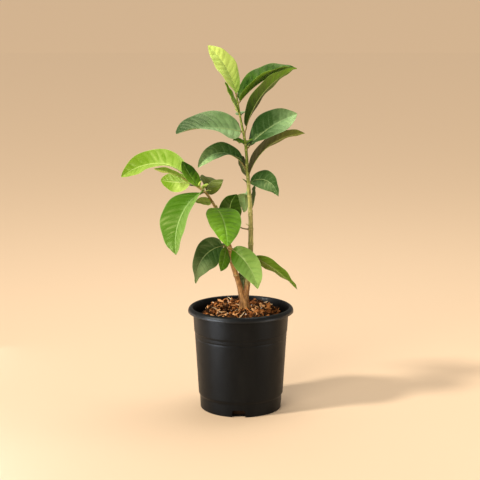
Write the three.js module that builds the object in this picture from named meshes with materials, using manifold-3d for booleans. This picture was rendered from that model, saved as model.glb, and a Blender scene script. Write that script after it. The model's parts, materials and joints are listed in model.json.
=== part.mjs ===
// A young guava in a black nursery pot.
// Millimetres, +Z up, origin at the centre of the pot's flat underside, -Y is the front.
// Headings are degrees in plan: 0 is the right (+X), 90 the back, 180 the left, 270 the front.
import * as THREE from 'three';
import { mergeVertices } from 'three/addons/utils/BufferGeometryUtils.js';
import Module from 'manifold-3d';

const wasm = await Module();
wasm.setup();

// Driving dimensions of the pot
const POT_HEIGHT = 200;
const RIM_RADIUS = 102;
const NECK_RADIUS = 92.4;
const FOOT_RADIUS = 79;
const WALL = 2;
const FLOOR = 3;
const FLOOR_FILLET = 2;
const LIP_HEIGHT = 10;
const LIP_ROUND = 3.5;
const RING_HEIGHT = 153;
const RING_STEP = 0.8;
const RING_RISE = 1;
const FOOT_BAND = 27;
const FOOT_STEP = 2;
const FOOT_ROUND = 3;
const NOTCHES = 4;
const NOTCH_WIDTH = 25;
const NOTCH_HEIGHT = 14;
const NOTCH_ROUND = 4;
const NOTCH_DEPTH = 9;
const FRONT_NOTCH_HEADING = 267;

// Driving dimensions of the soil
const CLEAR = 0.3;
const MOUND_TOP = 193;
const MOUND_FLAT = 56;
const MOUND_EDGE = 180;
const MOUND_SHOULDER = 3;
const MOAT_WIDTH = 16;
const NOTCH_ROOM = 1;
const NOTCH_SLOPE = 3;

// Driving dimensions of the trunk
const COLLAR_TOP = 224;
const COLLAR_CENTRE_X = 6.5;
const COLLAR_FOOT_RADIUS = 12.5;
const COLLAR_TOP_RADIUS = 6.5;
const COLLAR_EASE = 0.45;
const COLLAR_LOBES = 5;
const COLLAR_LOBE_SHARE = 0.14;
const ARM_SUNK = 10;
const ARM_TOP = 246;

// Heights at which the stems are parted into boughs and masses of foliage
const LEADER_CUTS = [342, 444, 497, 556, 605];
const LEFT_CUTS = [385, 430, 452];

// Driving dimensions of the leaves
const BLADE_THICKNESS_SHARE = 0.012;
const LEAST_BLADE_THICKNESS = 0.8;
const BLADE_FOOT_POWER = 0.6;
const BLADE_TIP_POWER = 0.85;
const STALK_RADIUS = 1.5;
const STALK_LENGTH_SHARE = 0.03;
const STALK_TAPER = 0.4;
const STALK_IN_BLADE = 0.15;

// Driving dimensions of the spurs that carry the low leaves
const SPUR_RISE = 25;
const SPUR_STAND = 2.5;
const SPUR_RADII = [3, 2.4, 1.6];
const SPUR_CAP = 2;
const SPUR_HOLD = 40;

// Driving dimensions of the buds in the leaf axils
const BUD_SEED = 7;
const BUD_CHANCE = 0.4;
const BUD_ROOM = 16;
const BUD_ABOVE_LEAF = 3;
const BUD_TURN = 30;
const BUD_RISE = [35, 55];
const BUD_LENGTH = [9, 14];
const BUD_WIDTH = 4;
const BUD_FOLD = 12;

// How finely the round things are faceted
const POT_SIDES = 48;
const LIMB_SIDES = 12;
const TWIG_SIDES = 8;
const STALK_SIDES = 4;
const BLADE_ROWS = 8;
const BUD_ROWS = 3;
const MIDRIB_STEPS = 48;
const RING_SPACING = 14;
const COLLAR_RINGS = 5;
const CORNER_SHARE = 0.3;
const TANGENT_STEP = 0.5;
const CUT_PAST = 5;

const FRONT_TO_BACK = new THREE.Vector3(0, 1, 0);
const { lerp, clamp, degToRad } = THREE.MathUtils;

// Materials
function finish(color, roughness) {
  return new THREE.MeshStandardMaterial({ color, roughness, metalness: 0 });
}
const potPlastic = finish(0x222222, 0.5);
const barkSoil = finish(0x5a3a26, 0.95);
const bark = finish(0x8a6a48, 0.85);
const matureLeaf = finish(0x3f7a35, 0.45);
const youngLeaf = finish(0x8fbf4a, 0.45);

// Closed meshes to solids and back
function solidOf(geometry) {
  const bare = geometry.clone();
  bare.deleteAttribute('normal');
  bare.deleteAttribute('uv');
  const merged = mergeVertices(bare, 1e-4);
  return new wasm.Manifold(new wasm.Mesh({
    numProp: 3,
    vertProperties: new Float32Array(merged.attributes.position.array),
    triVerts: new Uint32Array(merged.index.array),
  }));
}

function geometryOf(solid) {
  const mesh = solid.getMesh();
  const geometry = new THREE.BufferGeometry();
  geometry.setAttribute('position', new THREE.BufferAttribute(mesh.vertProperties, 3));
  geometry.setIndex(new THREE.BufferAttribute(mesh.triVerts, 1));
  geometry.computeVertexNormals();
  return geometry;
}

// The largest body of a sum: scraps that hang loose are dropped.
function fused(solids) {
  const whole = solids.reduce((sum, solid) => sum.add(solid));
  return whole.decompose().reduce((a, b) => (a.volume() > b.volume() ? a : b));
}

// A closed skin over rings of points, each ring with the same number of points
function skinOverRings(rings) {
  const round = rings[0].length;
  const points = rings.flat();
  const index = [];
  for (let ring = 0; ring + 1 < rings.length; ring += 1) {
    for (let i = 0; i < round; i += 1) {
      const a = ring * round + i;
      const b = ring * round + (i + 1) % round;
      index.push(a, b, b + round, a, b + round, a + round);
    }
  }
  const last = (rings.length - 1) * round;
  for (let i = 1; i + 1 < round; i += 1) {
    index.push(0, i + 1, i, last, last + i, last + i + 1);
  }
  const geometry = new THREE.BufferGeometry().setFromPoints(points);
  geometry.setIndex(index);
  return solidOf(geometry);
}

// A direction from its pitch above the level and its heading in plan
function unit(pitch, heading) {
  const p = degToRad(pitch);
  const h = degToRad(heading);
  return new THREE.Vector3(Math.cos(p) * Math.cos(h), Math.cos(p) * Math.sin(h), Math.sin(p));
}

// Pot: a lathe profile with a turned-down lip, a ring ledge, a foot band and four drain notches
function outerRadius(z) {
  const ledge = z < RING_HEIGHT ? RING_STEP : 0;
  return lerp(FOOT_RADIUS + FOOT_STEP, NECK_RADIUS, z / (POT_HEIGHT - LIP_HEIGHT)) - ledge;
}

function innerRadius(z) {
  return outerRadius(z) - WALL - RING_STEP;
}

function potProfile() {
  const neck = POT_HEIGHT - LIP_HEIGHT;
  const skirt = RIM_RADIUS - WALL;
  const lipCorner = LIP_ROUND * CORNER_SHARE;
  const footCorner = FOOT_ROUND * CORNER_SHARE;
  const floorRadius = FOOT_RADIUS - WALL - FOOT_STEP;
  return [
    [0, 0],
    [FOOT_RADIUS - FOOT_ROUND, 0],
    [FOOT_RADIUS - footCorner, footCorner],
    [FOOT_RADIUS, FOOT_ROUND],
    [outerRadius(FOOT_BAND) - FOOT_STEP, FOOT_BAND],
    [outerRadius(FOOT_BAND), FOOT_BAND + FOOT_STEP],
    [outerRadius(RING_HEIGHT - RING_RISE), RING_HEIGHT - RING_RISE],
    [outerRadius(RING_HEIGHT), RING_HEIGHT],
    [NECK_RADIUS, neck],
    [NECK_RADIUS + WALL / 2, POT_HEIGHT - WALL * 1.5],
    [skirt, POT_HEIGHT - WALL * 2],
    [skirt, neck],
    [RIM_RADIUS, neck],
    [RIM_RADIUS, POT_HEIGHT - LIP_ROUND],
    [RIM_RADIUS - lipCorner, POT_HEIGHT - lipCorner],
    [RIM_RADIUS - LIP_ROUND, POT_HEIGHT],
    [NECK_RADIUS + LIP_ROUND, POT_HEIGHT],
    [NECK_RADIUS + lipCorner, POT_HEIGHT - lipCorner],
    ...[neck, RING_HEIGHT, FOOT_BAND].map((z) => [innerRadius(z), z]),
    [floorRadius, FLOOR + FLOOR_FILLET],
    [floorRadius - FLOOR_FILLET, FLOOR],
    [0, FLOOR],
  ];
}

function lathed(profile) {
  const lathe = new THREE.LatheGeometry(profile.map(([r, z]) => new THREE.Vector2(r, z)), POT_SIDES);
  lathe.rotateX(Math.PI / 2);
  return lathe;
}

function notchCutter(heading) {
  const half = NOTCH_WIDTH / 2;
  const top = NOTCH_HEIGHT;
  const arch = new THREE.Shape();
  arch.moveTo(-half, -CUT_PAST);
  arch.lineTo(half, -CUT_PAST);
  arch.lineTo(half, top - NOTCH_ROUND);
  arch.quadraticCurveTo(half, top, half - NOTCH_ROUND, top);
  arch.lineTo(-half + NOTCH_ROUND, top);
  arch.quadraticCurveTo(-half, top, -half, top - NOTCH_ROUND);
  const depth = NOTCH_DEPTH + CUT_PAST;
  const cutter = new THREE.ExtrudeGeometry(arch, { depth, bevelEnabled: false, curveSegments: 3 });
  cutter.rotateX(Math.PI / 2);
  cutter.translate(0, FOOT_RADIUS - NOTCH_DEPTH + depth, 0);
  cutter.rotateZ(degToRad(heading - 90));
  return solidOf(cutter);
}

function potSolid() {
  let pot = solidOf(lathed(potProfile()));
  for (let i = 0; i < NOTCHES; i += 1) {
    pot = pot.subtract(notchCutter(FRONT_NOTCH_HEADING + (360 / NOTCHES) * i));
  }
  return pot;
}

// Soil: fills the pot inside its walls and rises to a flat-topped mound
function soilSolid() {
  const reach = (z) => innerRadius(z) - CLEAR;
  const floorRadius = FOOT_RADIUS - WALL - FOOT_STEP - NOTCH_DEPTH;
  const overNotch = NOTCH_HEIGHT + NOTCH_ROOM;
  const edge = reach(MOUND_EDGE);
  const mound = edge - MOAT_WIDTH;
  return solidOf(lathed([
    [0, FLOOR + CLEAR],
    [floorRadius, FLOOR + CLEAR],
    [floorRadius, overNotch],
    [reach(FOOT_BAND) - FOOT_STEP, overNotch + NOTCH_SLOPE],
    [reach(FOOT_BAND), FOOT_BAND + FOOT_STEP],
    [edge, MOUND_EDGE],
    [mound, MOUND_EDGE + MOUND_SHOULDER],
    [(mound + MOUND_FLAT) / 2, MOUND_TOP - MOUND_SHOULDER],
    [MOUND_FLAT, MOUND_TOP],
    [0, MOUND_TOP],
  ]));
}

// Stems: x and y are smooth functions of height through a few named points
class Stem {
  constructor({ places, radius, tipRadius, ease }) {
    Object.assign(this, { places, radius, tipRadius, ease });
  }

  slope(k, axis) {
    const before = this.places[Math.max(k - 1, 0)];
    const after = this.places[Math.min(k + 1, this.places.length - 1)];
    return (after[axis] - before[axis]) / (after[0] - before[0]);
  }

  point(z) {
    const last = this.places.length - 2;
    const found = this.places.findIndex((place, i) => i > 0 && place[0] > z) - 1;
    const k = found < 0 ? last : found;
    const [from, to] = [this.places[k], this.places[k + 1]];
    const span = to[0] - from[0];
    const t = (z - from[0]) / span;
    const axisAt = (axis) => (2 * t ** 3 - 3 * t ** 2 + 1) * from[axis]
      + (t ** 3 - 2 * t ** 2 + t) * span * this.slope(k, axis)
      + (3 * t ** 2 - 2 * t ** 3) * to[axis]
      + (t ** 3 - t ** 2) * span * this.slope(k + 1, axis);
    return new THREE.Vector3(axisAt(1), axisAt(2), z);
  }

  tangent(z) {
    return this.point(z + TANGENT_STEP).sub(this.point(z - TANGENT_STEP)).normalize();
  }

  radiusAt(z) {
    const foot = this.places[0][0];
    const top = this.places[this.places.length - 1][0];
    const share = clamp((z - foot) / (top - foot), 0, 1);
    return lerp(this.radius, this.tipRadius, share ** this.ease);
  }

  // The stretch between two heights; both ends are cut square to the stem.
  stretch(from, to, sides, extra = 0) {
    const count = Math.max(1, Math.round((to - from) / RING_SPACING));
    const rings = [];
    for (let i = 0; i <= count; i += 1) {
      const z = lerp(from, to, i / count);
      rings.push(ringAround(this.point(z), this.tangent(z), this.radiusAt(z) + extra, sides));
    }
    return skinOverRings(rings);
  }
}

function ringAround(centre, along, radius, sides) {
  const across = new THREE.Vector3().crossVectors(FRONT_TO_BACK, along).normalize();
  const other = new THREE.Vector3().crossVectors(along, across);
  return Array.from({ length: sides }, (_, i) => {
    const angle = (2 * Math.PI * i) / sides;
    return centre.clone()
      .addScaledVector(across, radius * Math.cos(angle))
      .addScaledVector(other, radius * Math.sin(angle));
  });
}

// Each place is a height and the x and y of the stem's middle there.
const leader = new Stem({
  places: [
    [200, 8, 0], [245, 13, 1], [285, 17, 1], [318, 19, 0], [381, 18.5, 0],
    [446, 14, 1], [512, 9, 0], [560, 0, 0], [605, -8, -3],
  ],
  radius: 5.8,
  tipRadius: 1.5,
  ease: 1,
});

const leftStem = new Stem({
  places: [
    [200, 6, 0], [246, -4, -2], [288, -17, -6], [320, -22, -9],
    [380, -41, -20], [411, -56, -27], [429, -70, -32], [452, -104, -38],
  ],
  radius: 6.5,
  tipRadius: 1.6,
  ease: 0.8,
});

// Trunk: a lobed root flare under two short arms, cut flat at the soil
function collarRing(foot, share) {
  const radius = lerp(COLLAR_FOOT_RADIUS, COLLAR_TOP_RADIUS, share ** COLLAR_EASE);
  const lobe = COLLAR_LOBE_SHARE * (1 - share) ** 2;
  const sides = 2 * LIMB_SIDES;
  return Array.from({ length: sides }, (_, k) => {
    const angle = (2 * Math.PI * k) / sides;
    const reach = radius * (1 + lobe * Math.cos(COLLAR_LOBES * angle));
    const x = COLLAR_CENTRE_X + reach * Math.cos(angle);
    return new THREE.Vector3(x, reach * Math.sin(angle), lerp(foot, COLLAR_TOP, share));
  });
}

function trunkSolid() {
  const foot = MOUND_TOP + CLEAR;
  const shares = Array.from({ length: COLLAR_RINGS + 1 }, (_, i) => i / COLLAR_RINGS);
  return fused([
    skinOverRings(shares.map((share) => collarRing(foot, share))),
    leftStem.stretch(foot + ARM_SUNK, ARM_TOP, LIMB_SIDES),
    leader.stretch(foot + ARM_SUNK, ARM_TOP, LIMB_SIDES),
  ]);
}

// Leaves: one curved midrib from the stem, first a stalk, then a blade folded along it
function leafCurve(leaf, start) {
  const total = leaf.stalk + leaf.length;
  const steps = [start.clone()];
  for (let i = 0; i < MIDRIB_STEPS; i += 1) {
    const share = (i + 0.5) / MIDRIB_STEPS;
    const ahead = unit(leaf.rise - leaf.droop * share, leaf.heading + leaf.sway * share);
    steps.push(steps[i].clone().addScaledVector(ahead, total / MIDRIB_STEPS));
  }
  return (distance) => {
    const at = clamp(distance / total, 0, 1) * MIDRIB_STEPS;
    const i = Math.min(Math.floor(at), MIDRIB_STEPS - 1);
    const share = at / MIDRIB_STEPS;
    const heading = leaf.heading + leaf.sway * share;
    const along = unit(leaf.rise - leaf.droop * share, heading);
    const side = unit(0, heading + 90).applyAxisAngle(along, degToRad(leaf.roll + leaf.twist * share));
    const up = new THREE.Vector3().crossVectors(along, side);
    return { place: steps[i].clone().lerp(steps[i + 1], at - i), side, up };
  };
}

// Share of the full half width at a share of the blade's length: rounded foot, acute tip
function bladeOutline(share) {
  const widest = BLADE_FOOT_POWER / (BLADE_FOOT_POWER + BLADE_TIP_POWER);
  const reach = (at) => at ** BLADE_FOOT_POWER * (1 - at) ** BLADE_TIP_POWER;
  return reach(share) / reach(widest);
}

function bladeSolid(leaf, curve, rowCount) {
  const half = leaf.width / 2;
  const thickness = Math.max(LEAST_BLADE_THICKNESS, leaf.length * BLADE_THICKNESS_SHARE);
  const [top, under] = [thickness / 2, -thickness / 2];
  const fold = degToRad(leaf.fold);
  const rings = [];
  for (let row = 0; row <= rowCount; row += 1) {
    const share = row / rowCount;
    const frame = curve(leaf.stalk + share * leaf.length);
    const reach = Math.max(thickness / 2, half * bladeOutline(share));
    const at = (across, lift) => frame.place.clone()
      .addScaledVector(frame.side, across * reach * Math.cos(fold))
      .addScaledVector(frame.up, Math.abs(across) * reach * Math.sin(fold) + lift);
    rings.push([at(-1, top), at(-1, under), at(0, under), at(1, under), at(1, top), at(0, top)]);
  }
  return skinOverRings(rings);
}

function stalkSolid(leaf, curve) {
  const end = leaf.stalk + leaf.length * STALK_IN_BLADE;
  const radius = Math.min(STALK_RADIUS, leaf.length * STALK_LENGTH_SHARE);
  const rings = [0, 0.5, 1].map((share) => {
    const frame = curve(share * end);
    const reach = radius * (1 - STALK_TAPER * share);
    return Array.from({ length: STALK_SIDES }, (_, i) => {
      const angle = (2 * Math.PI * i) / STALK_SIDES;
      return frame.place.clone()
        .addScaledVector(frame.side, reach * Math.cos(angle))
        .addScaledVector(frame.up, reach * Math.sin(angle));
    });
  });
  return skinOverRings(rings);
}

function leafSolid(leaf, start) {
  const curve = leafCurve(leaf, start);
  return bladeSolid(leaf, curve, BLADE_ROWS).add(stalkSolid(leaf, curve));
}

// A named leaf. In order: the height on its stem and the heading it grows out in; the pitch it
// starts with, how far that falls and how far it swings round by the tip; the lengths of the
// stalk and the blade and the blade's width; its roll about the midrib and the twist by the tip;
// and how far each half of the blade is folded up from the midrib.
function leafAt(height, heading, rise, droop, sway, stalk, length, width, roll, twist, fold) {
  return { height, heading, rise, droop, sway, stalk, length, width, roll, twist, fold };
}

const leaves = {
  lowLeft: [
    leafAt(318, 198, 3, 97, 28, 7, 101, 59, -60, -56, 17),
    leafAt(318, 260, -48, -3, -12, 2, 56, 30, -77, 29, 5),
    leafAt(318, 125, 5, 70, 0, 4, 75, 42, 0, 0, 12),
  ],
  lowFront: [
    leafAt(312, 327, -26, 55, 22, 1, 94, 47, 75, -34, 12),
  ],
  lowRight: [
    leafAt(294, 3, -27, 22, 18, 1, 112, 44, -50, 49, 6),
    leafAt(294, 140, -53, 41, 32, 4, 74, 26, 69, 0, 12),
  ],
  leftInner: [
    leafAt(397, 294, -11, 43, -19, 5, 108, 66, 1, 0, 12),
    leafAt(406, 207, 13, 15, 17, 3, 36, 20, -56, 21, 13),
    leafAt(388, 98, -10, 75, -30, 6, 66, 34, 75, -24, 12),
    leafAt(421, 94, 42, 65, -44, 3, 90, 45, 60, -71, 9),
    leafAt(427, 228, -7, 94, 3, 6, 145, 87, 15, -13, 21),
  ],
  leftOuter: [
    leafAt(433, 165, 45, -20, 5, 3, 60, 34, -10, -45, 12),
    leafAt(436, 120, 20, 60, 0, 5, 75, 42, -10, 0, 12),
    leafAt(434, 335, 38, 20, 0, 2, 18, 9, 25, 0, 12),
    leafAt(443, 167, 4, 5, -32, 5, 67, 38, -75, -25, 13),
    leafAt(446, 124, 39, 78, 53, 26, 149, 61, 15, -95, 26),
    leafAt(452, 200, 30, 20, 0, 5, 60, 24, 0, 50, 12),
  ],
  leaderLower: [
    leafAt(351, 179, -8, -160, -49, 28, 73, 45, -70, 36, 6),
    leafAt(385, 65, 35, -15, 30, 3, 65, 33, -65, -50, 12),
    leafAt(415, 125, 29, 161, -78, 3, 63, 34, -10, -62, 24),
    leafAt(438, 334, 40, 108, -26, 4, 82, 38, 36, 64, 9),
    leafAt(437, 160, 45, 10, 0, 2, 14, 7, 0, 0, 12),
  ],
  leaderMiddle: [
    leafAt(451, 20, 73, 73, -20, 6, 141, 66, -25, -5, 12),
    leafAt(453, 185, 82, 142, 17, 30, 100, 41, 6, -87, 35),
    leafAt(450, 117, 47, 7, 0, 4, 53, 30, 72, 33, 5),
  ],
  leaderUpper: [
    leafAt(503, 350, 55, 40, 30, 9, 115, 66, 15, 50, 12),
    leafAt(508, 87, 20, 42, 23, 6, 84, 42, 14, 0, 12),
    leafAt(513, 200, 45, 50, 0, 2, 26, 14, -30, 0, 12),
    leafAt(513, 20, 50, 30, 0, 2, 18, 9, 30, 0, 12),
    leafAt(537, 190, 22, 42, 33, 4, 138, 78, -47, 46, 12),
    leafAt(527, 12, 81, 60, 10, 20, 145, 68, -30, -5, 12),
  ],
  leaderTip: [
    leafAt(568, 160, 60, -10, 15, 4, 66, 30, 10, -25, 12),
    leafAt(568, 73, 12, 20, 5, 5, 62, 33, -20, 5, 12),
    leafAt(590, 15, 53, 50, 9, 6, 134, 68, -3, 13, 35),
    leafAt(603, 194, 79, 37, -12, 6, 106, 52, -29, -41, 11),
  ],
};

// Young buds in the leaf axils, dealt out by a seeded rule
function seeded(seed) {
  const [factor, step, range] = [1103515245, 12345, 2 ** 31];
  let state = seed;
  return () => {
    state = (state * factor + step) % range;
    return state / range;
  };
}

function axilBuds(stem, top, leafList, random) {
  const between = ([low, high]) => lerp(low, high, random());
  const buds = leafList.map((leaf) => {
    const grows = random() < BUD_CHANCE;
    const heading = leaf.heading + between([-BUD_TURN / 2, BUD_TURN / 2]);
    const length = between(BUD_LENGTH);
    const rise = between(BUD_RISE);
    const height = leaf.height + BUD_ABOVE_LEAF;
    const bud = leafAt(height, heading, rise, 0, 0, 1, length, BUD_WIDTH, 0, 0, BUD_FOLD);
    return { ...bud, grows: grows && height + BUD_ROOM < top };
  });
  return buds.filter((bud) => bud.grows)
    .map((bud) => bladeSolid(bud, leafCurve(bud, stem.point(bud.height)), BUD_ROWS));
}

// A mass on a stem of its own: the upper part of a stem with the leaves that grow from it
function shoot(stem, from, to, leafList, random) {
  const all = leafList.map((leaf) => leafSolid(leaf, stem.point(leaf.height)));
  const buds = axilBuds(stem, to, leafList, random);
  return fused([stem.stretch(from + CLEAR, to, TWIG_SIDES), ...all, ...buds]);
}

// A mass on the side of a bough: a short spur carries its leaves, clear of the bough's bark
function spur(stem, height, heading, leafList) {
  const foot = stem.point(height);
  const along = unit(SPUR_RISE, heading);
  const tip = foot.clone().addScaledVector(along, stem.radiusAt(height) + SPUR_STAND);
  const cap = tip.clone().addScaledVector(along, SPUR_CAP);
  const rings = [foot, tip, cap].map((at, i) => ringAround(at, along, SPUR_RADII[i], TWIG_SIDES));
  const all = leafList.map((leaf) => leafSolid(leaf, tip));
  const bough = stem.stretch(height - SPUR_HOLD, height + SPUR_HOLD, LIMB_SIDES, CLEAR);
  return fused([fused([skinOverRings(rings), ...all]).subtract(bough)]);
}

// The assembly: every piece is its own named mesh
const pottedGuava = new THREE.Group();
pottedGuava.name = 'potted_guava';

function place(name, solid, material) {
  const mesh = new THREE.Mesh(geometryOf(solid), material);
  mesh.name = name;
  pottedGuava.add(mesh);
}

const random = seeded(BUD_SEED);

place('pot', potSolid(), potPlastic);
place('soil', soilSolid(), barkSoil);
place('trunk', trunkSolid(), bark);
place('left_bough', leftStem.stretch(ARM_TOP + CLEAR, LEFT_CUTS[0], LIMB_SIDES), bark);
place('right_bough', leader.stretch(ARM_TOP + CLEAR, LEADER_CUTS[0], LIMB_SIDES), bark);
place('low_left_leaves', spur(leftStem, 318, 200, leaves.lowLeft), matureLeaf);
place('low_front_leaf', spur(leftStem, 312, 305, leaves.lowFront), matureLeaf);
place('low_right_leaves', spur(leader, 294, 20, leaves.lowRight), matureLeaf);

const leftMasses = [
  ['left_inner_leaves', leaves.leftInner, matureLeaf],
  ['left_outer_leaves', leaves.leftOuter, youngLeaf],
];
leftMasses.forEach(([name, leafList, material], i) => {
  place(name, shoot(leftStem, LEFT_CUTS[i], LEFT_CUTS[i + 1], leafList, random), material);
});

const leaderMasses = [
  ['leader_lower_leaves', leaves.leaderLower, matureLeaf],
  ['leader_middle_leaves', leaves.leaderMiddle, matureLeaf],
  ['leader_upper_leaves', leaves.leaderUpper, matureLeaf],
  ['leader_tip_leaves', leaves.leaderTip, youngLeaf],
];
leaderMasses.forEach(([name, leafList, material], i) => {
  place(name, shoot(leader, LEADER_CUTS[i], LEADER_CUTS[i + 1], leafList, random), material);
});

export default pottedGuava;
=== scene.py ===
# %% [markdown]
# A young guava with a forked stem grows in a black nursery pot of bark soil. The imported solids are
# the frame: they say where the pot, the soil, the stems and the leaves are. Here each of them
# gets its real surface. All lengths below are in millimetres until the last moment, because a
# gardener thinks of leaves and pots in millimetres; Blender works in metres.

# %% Load the frame
import json
import math

import bmesh
import bpy
import numpy as np
from mathutils import Euler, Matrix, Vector, noise

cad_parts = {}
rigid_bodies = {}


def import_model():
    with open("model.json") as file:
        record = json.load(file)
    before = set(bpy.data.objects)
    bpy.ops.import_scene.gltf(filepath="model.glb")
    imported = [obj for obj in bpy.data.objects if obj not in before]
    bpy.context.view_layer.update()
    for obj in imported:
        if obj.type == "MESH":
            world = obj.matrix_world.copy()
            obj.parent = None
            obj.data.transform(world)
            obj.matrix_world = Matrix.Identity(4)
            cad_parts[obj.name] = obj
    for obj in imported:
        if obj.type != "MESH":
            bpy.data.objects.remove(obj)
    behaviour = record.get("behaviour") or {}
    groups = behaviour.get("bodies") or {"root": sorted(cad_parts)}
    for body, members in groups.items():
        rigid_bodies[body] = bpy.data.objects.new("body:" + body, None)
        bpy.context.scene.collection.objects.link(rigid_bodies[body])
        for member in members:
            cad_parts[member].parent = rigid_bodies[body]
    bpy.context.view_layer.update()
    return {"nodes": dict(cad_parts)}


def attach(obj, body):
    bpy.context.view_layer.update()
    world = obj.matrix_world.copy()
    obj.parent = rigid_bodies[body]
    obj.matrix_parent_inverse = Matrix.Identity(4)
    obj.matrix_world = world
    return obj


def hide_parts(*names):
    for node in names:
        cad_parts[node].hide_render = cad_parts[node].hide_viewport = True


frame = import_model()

MM = 0.001
print("solids in the frame:", sorted(frame["nodes"]))

# %% [markdown]
# The stage is as plain as a photographer's table: one pale floor that runs past the picture and
# rises a little far away, so that it fills the view. A soft sun high on the left is the main light,
# because its light is equally strong all over the floor. A lamp overhead gives the leaves their
# sheen, and a wide one in front softens the shadows on them without showing in anything glossy.
# Four lamps low down draw the edges of the dark pot. They are kept from lighting anything matt,
# so the floor beside them stays even.

# %% The floor
def deselect():
    if bpy.context.object and bpy.context.object.mode != "OBJECT":
        bpy.ops.object.mode_set(mode="OBJECT")
    bpy.ops.object.select_all(action="DESELECT")


deselect()
bpy.ops.mesh.primitive_plane_add(size=40, location=(0, 0, 0))
floor = bpy.context.object
floor.name = "floor"
bpy.ops.object.mode_set(mode="EDIT")
bpy.ops.mesh.select_mode(type="EDGE")
bpy.ops.mesh.extrude_edges_move(TRANSFORM_OT_translate={"value": (0, 0, 16)})
bpy.ops.transform.resize(value=(21, 21, 1), center_override=(0, 0, 16))
bpy.ops.object.mode_set(mode="OBJECT")
floor_finish = bpy.data.materials.new("pale_floor")
floor_finish.use_nodes = True
floor_shader = floor_finish.node_tree.nodes["Principled BSDF"]
floor_shader.inputs["Base Color"].default_value = (0.86, 0.65, 0.455, 1)
floor_shader.inputs["Roughness"].default_value = 0.85
floor.data.materials.append(floor_finish)

# %% The lamps and the surrounding light
def hung(data, place, aim, power, colour):
    """The lamp as an object at its place, turned towards its aim."""
    data.energy, data.color = power, colour
    made = bpy.data.objects.new(data.name, data)
    bpy.context.collection.objects.link(made)
    made.location = place
    made.rotation_euler = (Vector(aim) - Vector(place)).to_track_quat("-Z", "Y").to_euler()
    return made


def lamp(name, place, aim, size, power, colour):
    data = bpy.data.lights.new(name, "AREA")
    data.shape, data.size, data.size_y = "RECTANGLE", *size
    return hung(data, place, aim, power, colour)


MIDDLE = (0, 0, 0.40)
sun = bpy.data.lights.new("key_sun", "SUN")
sun.angle = math.radians(7)
hung(sun, (-5.0, -2.3, 4.4), MIDDLE, 2.5, (1.0, 0.91, 0.77))
lamp("sky_lamp", (0.2, 0.4, 2.4), MIDDLE, (1.4, 1.0), 22, (1.0, 0.97, 0.90))
front_lamp = lamp("front_lamp", (-3.9, -8.4, 3.1), MIDDLE, (5.4, 4.2), 675, (1.0, 0.94, 0.80))
front_lamp.visible_camera = front_lamp.visible_glossy = False
POT_LAMPS = [
    ("strip_lamp", (-0.59, -0.37, 0.14), (0.36, 0.26), 5.4, (0.98, 0.98, 1.0)),
    ("right_strip_lamp", (0.60, -0.36, 0.14), (0.40, 0.26), 1.2, (1.0, 0.92, 0.84)),
    ("left_edge_lamp", (-0.60, 0.34, 0.12), (0.26, 0.24), 0.44, (1.0, 0.90, 0.84)),
    ("right_edge_lamp", (0.62, 0.30, 0.12), (0.30, 0.22), 0.38, (1.0, 0.62, 0.34)),
]
for name, place, size, power, colour in POT_LAMPS:
    edge_lamp = lamp(name, place, (0, 0, 0.10), size, power, colour)
    edge_lamp.visible_camera = edge_lamp.visible_diffuse = False

world = bpy.data.worlds.new("studio")
bpy.context.scene.world = world
world.use_nodes = True
background = world.node_tree.nodes["Background"]
background.inputs["Color"].default_value = (1.0, 0.90, 0.77, 1)
background.inputs["Strength"].default_value = 0.30
bpy.context.scene.view_settings.view_transform = "Standard"

# %% The camera
CAMERA_PLACE = (-0.0015, -2.454, 0.769)
CAMERA_TILT = 10.15
camera_data = bpy.data.cameras.new("camera")
camera_data.lens, camera_data.sensor_width = 97.5, 36
camera = bpy.data.objects.new("camera", camera_data)
bpy.context.collection.objects.link(camera)
camera.location = CAMERA_PLACE
camera.rotation_euler = (math.radians(90 - CAMERA_TILT), 0, 0)
bpy.context.scene.camera = camera
print("camera", CAMERA_PLACE, "tilted down", CAMERA_TILT)

# %% [markdown]
# A finish is a small node tree. Each one starts from a plain colour and a gloss, and then gets
# what the real surface has: speckle, stain, grain or veins. The leaves also get painted light and
# shade. The helpers below only save typing.

# %% Node helpers
def finish(name, colour, roughness, shine=0.5, tint=(1, 1, 1)):
    """A new material, its node tree, and its shader with the plain settings."""
    made = bpy.data.materials.new(name)
    made.use_nodes = True
    shader = made.node_tree.nodes["Principled BSDF"]
    shader.inputs["Base Color"].default_value = (*colour, 1)
    shader.inputs["Roughness"].default_value = roughness
    shader.inputs["Specular IOR Level"].default_value = shine
    shader.inputs["Specular Tint"].default_value = (*tint, 1)
    return made, made.node_tree, shader


def node(tree, kind, **settings):
    """A new node. A setting is a property, an input's value or the socket that feeds an input."""
    made = tree.nodes.new(kind)
    for name, value in settings.items():
        if isinstance(value, bpy.types.NodeSocket):
            tree.links.new(value, made.inputs[name])
        elif name in made.inputs:
            made.inputs[name].default_value = value
        else:
            setattr(made, name, value)
    return made


def object_place(tree, stretch=(1, 1, 1)):
    """The piece's own coordinates, in metres, stretched along x, y and z."""
    own = node(tree, "ShaderNodeTexCoord").outputs["Object"]
    return node(tree, "ShaderNodeMapping", Vector=own, Scale=stretch).outputs["Vector"]


def speckle(tree, place, scale, detail=4, rough=0.6):
    """A cloudy number from 0 to 1 that varies over the surface."""
    made = node(
        tree, "ShaderNodeTexNoise", Vector=place, Scale=scale, Detail=detail, Roughness=rough
    )
    return made.outputs["Fac"]


def ramp(tree, value, low, high, start=0.0, end=1.0):
    """value brought from the range low..high to start..end."""
    ends = {"From Min": low, "From Max": high, "To Min": start, "To Max": end}
    return node(tree, "ShaderNodeMapRange", Value=value, **ends).outputs["Result"]


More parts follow.
